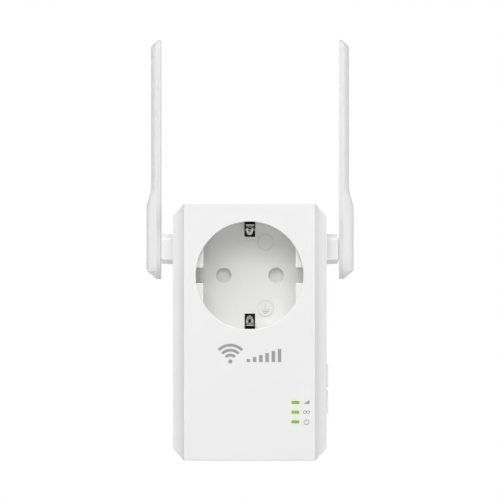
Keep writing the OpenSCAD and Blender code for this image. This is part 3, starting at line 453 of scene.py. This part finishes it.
cover_low, cover_high = box_mm("front_cover")
shell_low, shell_high = box_mm("rear_shell")
face_y, side_x, top_z, bottom_z = cover_low.y, cover_high.x, cover_high.z, cover_low.z
back_y = shell_high.y
label_low, label_high = box_mm("rating_label")


def on_outside(p, slack=0.05, front=0.5):
    """Whether a point lies on the outside of the housing, or within front of its face."""
    return (p.y < face_y + front or p.y > back_y - slack or abs(p.x) > side_x - slack
            or p.z > top_z - slack or p.z < bottom_z + slack)


def front_cover():
    """Crisp but touched edges on the face and the side bands, and fine ones elsewhere."""
    pipe_low, pipe_high = box_mm("light_pipe")
    band_width = 4.6

    def by_lights(p):
        return (p.y < face_y + 0.1 and pipe_low.x < p.x < pipe_high.x
                and pipe_low.z < p.z < pipe_high.z)

    rounded_copy(
        "front_cover",
        (0.1, by_lights),
        (0.28, lambda p: on_outside(p) or abs(p.x) > side_x - band_width),
        (0.1, everywhere))


def rear_shell():
    """Outer edges, hinge knuckles, vents, and the openings for the keys, the jack and the screws."""
    rim = 0.5

    def in_label_pocket(p):
        return (p.y > back_y - 0.2 and label_low.x - rim < p.x < label_high.x + rim
                and label_low.z - rim < p.z < label_high.z + rim)

    rounded_copy(
        "rear_shell",
        (0.06, in_label_pocket),
        (0.35, lambda p: abs(p.x) > shell_high.x - 0.05),
        (0.3, lambda p: abs(p.x) > side_x + 0.05),
        (0.16, lambda p: on_outside(p) and (p.z > top_z - 0.05 or p.z < bottom_z + 0.05)),
        (0.22, on_outside))


def plug_boss():
    """The round plug body, softened where it stands out of the back."""
    rounded_copy("plug_boss", (0.25, lambda p: p.y > back_y + 0.05), (0.0, everywhere))


def pins():
    """The two mains pins of the plug."""
    for side in ("left", "right"):
        rounded_copy("plug_pin_" + side, (0.15, everywhere))


def screws():
    """Domed heads with a fine edge round the crossed recess."""
    for node in ("housing_screws", "socket_screws", "board_screws", "carrier_screws"):
        top = box_mm(node)[1].y
        rounded_copy(node, (0.1, lambda p: p.y < top - 0.1), (0.12, everywhere), angle=40)


def label():
    """The rating label: a film with round corners, printed with a border and plain bars."""
    low, high = label_low, label_high
    middle = ((low.x + high.x) / 2, (low.z + high.z) / 2)
    width, height = high.x - low.x, high.z - low.z
    bm = bmesh.new()
    prism(bm, rounded_outline(middle, width, height, 1.5), low.y, high.y)
    film = new_piece("rating_label_shape", bm, slot_of("rating_label"), body_of("rating_label"))
    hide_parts("rating_label")

    bm = bmesh.new()
    top, face = high.y + 0.012, high.y - 0.01
    side_margin, end_margin, line = 1.6, 1.4, 0.25
    left, right = low.x + side_margin, high.x - side_margin
    for z in (low.z + end_margin, high.z - end_margin):
        prism(bm, rounded_outline((middle[0], z), right - left, line, 0.1, 2), face, top)
    for x in (left, right):
        prism(bm, rounded_outline((x, middle[1]), line, height - 2 * end_margin, 0.1, 2), face, top)
    row_step, row_height = 2.35, 0.85
    for row in range(7):
        length = (right - left) * (0.82 - 0.13 * (row * 3 % 4))
        centre = (right - side_margin - length / 2, high.z - 4.2 - row * row_step)
        prism(bm, rounded_outline(centre, length, row_height, 0.2, 2), face, top)
    bar_step, bar_height = 0.92, 3.2
    for column in range(22):
        bar_width = 0.22 + 0.2 * (column * 5 % 3)
        centre = (left + 2.4 + column * bar_step, low.z + 4.4)
        prism(bm, rounded_outline(centre, bar_width, bar_height, 0.05, 1), face, top)
    new_piece("label_print", bm, "print_grey", body_of("rating_label"), weighted=False)


# ---- Socket ----

FLOOR_TO_SHUTTER = 2.6
floor_y = box_mm("shutter")[0].y - FLOOR_TO_SHUTTER


def by_floor_marks(p):
    """Whether a point lies where the two round marks are moulded, above and below the pin holes."""
    return 2.7 < p.x < 8.7 and 9 < abs(p.z) < 15


def socket_well():
    """Ledges with soft edges, windows and pin holes with fine ones, and marks darkened with a painted
    shade.
    """
    rounded_copy(
        "socket_well",
        (0.0, lambda p: by_floor_marks(p) and p.y < floor_y + 0.01),
        (0.12, lambda p: abs(p.x) < 2.1 and abs(p.z) > 13),
        (0.1, lambda p: abs(p.z) < 5 and 5 < abs(p.x) < 14 and p.y < floor_y + 2),
        (0.3, lambda p: abs(p.x) > 12 and p.y < floor_y),
        (0.15, everywhere),
        # the faces of the round floor marks are darkened with painted shade
        painted_shade=lambda p: by_floor_marks(p) and floor_y - 0.3 < p.y < floor_y - 0.01)


def window_rib():
    """The thin moulded line across the upper window, behind the spring tongue."""
    height_above_axis, width, thickness = 16.5, 4.2, 0.4
    bm = bmesh.new()
    prism(bm, rounded_outline((0, height_above_axis), width, thickness, 0.15, 3),
          floor_y + 1.9, floor_y + 2.4)
    new_piece("window_rib", bm, "white_well", body_of("socket_well"))


def contacts():
    """Earth springs, mains contacts, the block that holds them, and the shutter in front of it."""
    rounded_copy("earth_bracket", (0.1, everywhere), angle=25)
    for node in ("live_contact", "neutral_contact", "earth_sleeve"):
        rounded_copy(node, (0.12, everywhere), angle=40, segments=2)
    rounded_copy("contact_carrier", (0.3, everywhere), angle=40, segments=2)
    rounded_copy("shutter", (0.2, everywhere), angle=40)


# ---- Boards and parts on them ----


def inner_parts():
    """Small radii on the parts inside the housing."""
    for node, width in (("transformer_core", 0.35), ("transformer_winding", 0.6), ("bulk_capacitors", 0.5),
                        ("output_capacitor", 0.45), ("mains_fuse", 0.25), ("varistor", 0.7),
                        ("power_chips", 0.12), ("board_header", 0.1), ("rf_shield", 0.15),
                        ("wifi_chip", 0.12), ("thermal_pad", 0.2), ("lan_magnetics", 0.15),
                        ("ethernet_jack", 0.12), ("pair_switch", 0.15), ("reset_switch", 0.15),
                        ("pair_plunger", 0.12), ("reset_plunger", 0.12), ("insulation_barrier", 0.1),
                        ("main_board", 0.08), ("power_board", 0.08), ("status_leds", 0.1)):
        rounded_copy(node, (width, everywhere), angle=40, segments=2)


def chip_row(name, start, step, count=8):
    """A row of small surface-mounted parts with tinned ends, on the front of the main board."""
    board_y, body = box_mm("main_board")[0].y, body_of("main_board")
    length, width, height, cap = 1.6, 0.8, 0.5, 0.3
    dark, ends = bmesh.new(), bmesh.new()
    for i in range(count):
        x, z = start[0] + step[0] * i, start[1] + step[1] * i
        prism(dark, rounded_outline((x, z), length - 2 * cap, width, 0.03, 1), board_y - height, board_y)
        for side in (-1, 1):
            centre = (x + side * (length - cap) / 2, z)
            prism(ends, rounded_outline(centre, cap, width, 0.08, 2),
                  board_y - height - 0.02, board_y, 0.05)
    new_piece(name + "_bodies", dark, "black_plastic", body)
    new_piece(name + "_ends", ends, "shield_tin", body)


def small_parts():
    """One row beside the shield can and one below it."""
    shield_low, shield_high = box_mm("rf_shield")
    chip_row("chip_row_side", (shield_high.x + 2, shield_low.z + 2), (0, 1.6))
    chip_row("chip_row_low", (shield_low.x + 1.5, shield_low.z - 2.5), (2.6, 0))


# ---- Lights and keys ----


def lights():
    """Three light pipes, each in a thin ring of face that its light shines through."""
    rounded_copy("light_pipe", (0.12, lambda p: p.y < face_y + 0.5), (0.0, everywhere))
    pipe_low, pipe_high = box_mm("light_pipe")
    led_low, led_high = box_mm("status_leds")
    led_height, x = 0.8, (pipe_low.x + pipe_high.x) / 2
    bm = bmesh.new()
    for i in (-1, 0, 1):
        z = (led_low.z + led_high.z) / 2 + i * (led_high.z - led_low.z - led_height) / 2
        ring(bm, rounded_outline((x, z), 3.5, 1.8, 0.55), rounded_outline((x, z), 2.76, 1.06, 0.12),
             face_y - 0.02, face_y + 0.3)
    new_piece("light_rings", bm, "led_lens", body_of("light_pipe"))


def keys():
    """The two side buttons, soft on the side that is pressed."""
    for key in ("pair", "reset"):
        rounded_copy(key + "_button", (0.35, lambda p: p.x > side_x - 0.5), (0.12, everywhere), angle=25)


# ---- Antennas ----


def antennas():
    """Two half shells on a hinge. The outer shell's edge is too thin to round at its tip."""
    for side in ("left", "right"):
        outer = "antenna_" + side + "_outer_shell"
        thin_tip = box_mm(outer)[1].z - 0.4
        rounded_copy(outer, (0.0, lambda p: p.z > thin_tip), (0.16, everywhere), angle=22, smooth=22)
        rounded_copy("antenna_" + side + "_inner_shell", (0.16, everywhere), angle=22, smooth=22)
        rounded_copy("antenna_" + side + "_hinge", (0.15, everywhere), angle=40)
        rounded_copy("antenna_" + side + "_washer", (0.08, everywhere), angle=40, segments=2)
        rounded_copy("antenna_" + side + "_clip", (0.1, everywhere), angle=40, segments=2)
        rounded_copy("antenna_" + side + "_radiator", (0.1, everywhere), angle=40, segments=2)


def dress(node):
    """Gives a CAD node its finish and leaves its shape as it is."""
    slot_name = slot_of(node)
    NODES[node].data.materials[0] = FINISHES[slot_name]


front_cover()
rear_shell()
plug_boss()
pins()
screws()
label()
socket_well()
window_rib()
contacts()
inner_parts()
small_parts()
lights()
keys()
antennas()
for node in NODES:
    if not NODES[node].hide_render:
        dress(node)

# ---- Studio, in metres ----

LIGHT_DISTANCE = 1.6
CAMERA_DISTANCE = 3
FLOOR_DROP = 0.06
SURROUND_STRENGTH = 0.11


def softbox(name, azimuth, elevation, size, power):
    """A soft rectangular light that faces the part. Azimuth 0 is in front of it."""
    a, e = math.radians(azimuth), math.radians(elevation)
    way = Vector((math.sin(a) * math.cos(e), -math.cos(a) * math.cos(e), math.sin(e)))
    light = bpy.data.lights.new(name, "AREA")
    light.shape = "RECTANGLE"
    light.size, light.size_y = size
    light.energy = power
    lamp = bpy.data.objects.new(name, light)
    lamp.location = Vector((0, (cad_box[0].y + cad_box[1].y) / 2, 0)) + way * LIGHT_DISTANCE
    lamp.rotation_euler = way.to_track_quat("Z", "Y").to_euler()
    bpy.context.scene.collection.objects.link(lamp)


def studio():
    """Pale floor well below the part, an even white surround, and soft lights in front and at the sides."""
    floor = bpy.data.meshes.new("floor")
    half, level = 1.4, cad_box[0].z - FLOOR_DROP
    corners = [(x * half, y * half, level) for x, y in ((-1, -1), (1, -1), (1, 1), (-1, 1))]
    floor.from_pydata(corners, [], [(0, 1, 2, 3)])
    floor_object = bpy.data.objects.new("floor", floor)
    bpy.context.scene.collection.objects.link(floor_object)
    floor.materials.append(paper("floor_paper", (0.9, 0.9, 0.9), 0.8))

    world = bpy.data.worlds.new("surround")
    world.use_nodes = True
    tree = world.node_tree
    lighting = tree.nodes["Background"]
    lighting.inputs["Color"].default_value = (1, 1, 1, 1)
    lighting.inputs["Strength"].default_value = SURROUND_STRENGTH
    backdrop = tree.nodes.new("ShaderNodeBackground")
    backdrop.inputs["Color"].default_value = (1, 1, 1, 1)
    path = tree.nodes.new("ShaderNodeLightPath")
    mix = tree.nodes.new("ShaderNodeMixShader")
    tree.links.new(path.outputs["Is Camera Ray"], mix.inputs[0])
    tree.links.new(lighting.outputs[0], mix.inputs[1])
    tree.links.new(backdrop.outputs[0], mix.inputs[2])
    tree.links.new(mix.outputs[0], tree.nodes["World Output"].inputs["Surface"])
    bpy.context.scene.world = world
    softbox("key_low", 0, 30, (1.2, 0.6), 9.1)
    softbox("key_high", 0, 50, (1.2, 0.8), 8.4)
    softbox("left_front", -45, 30, (0.8, 0.8), 4.6)
    softbox("right_side", 75, 15, (0.8, 1.0), 4.2)
    softbox("left_rim", -112, 10, (0.8, 1.2), 7.5)
    softbox("right_rim", 110, 10, (0.8, 1.2), 7)


def camera():
    """Almost straight in front, far back, as a catalogue picture is taken, and aimed at the face."""
    lens = bpy.data.cameras.new("camera")
    lens.sensor_width = 36
    lens.lens = 598
    lens.clip_end = 20
    eye = bpy.data.objects.new("camera", lens)
    turn = math.radians(0.5)
    aim = Vector((0.2, face_y, 9.17)) * MM
    eye.location = aim + CAMERA_DISTANCE * Vector((math.sin(turn), -math.cos(turn), 0))
    eye.rotation_euler = (math.radians(90), 0, turn)
    bpy.context.scene.collection.objects.link(eye)
    bpy.context.scene.camera = eye


studio()
camera()
bpy.context.scene.view_settings.view_transform = "Standard"

bpy.context.view_layer.update()
